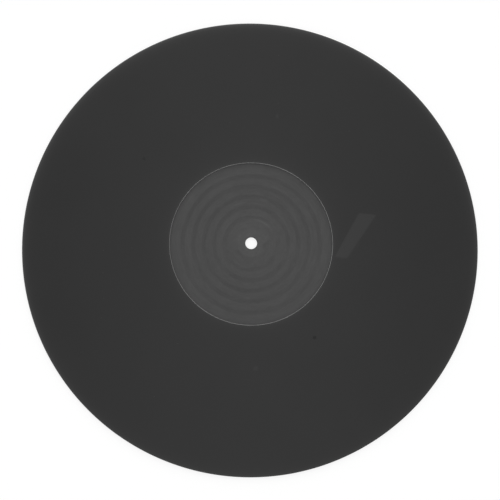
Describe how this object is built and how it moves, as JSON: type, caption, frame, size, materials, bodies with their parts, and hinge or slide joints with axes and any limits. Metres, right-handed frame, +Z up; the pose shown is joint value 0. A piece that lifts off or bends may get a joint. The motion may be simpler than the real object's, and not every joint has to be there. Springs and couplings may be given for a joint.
{
  "type": "turntable mat",
  "caption": "Round flat turntable platter mat of black acrylic with a shallow milled label recess and a spindle hole.",
  "frame": {"origin": "centre of the spindle hole at the mat's underside", "axes": "+Z up along the spindle hole, out of the side that carries the record; the mat is round, so X and Y may point any way"},
  "size_m": [0.295, 0.295, 0.003],
  "materials": {
    "acrylic": "polished black cast acrylic sheet; the label recess and the edges are milled and satin"
  },
  "bodies": {
    "root": {"mat": "acrylic"}
  },
  "joints": []
}
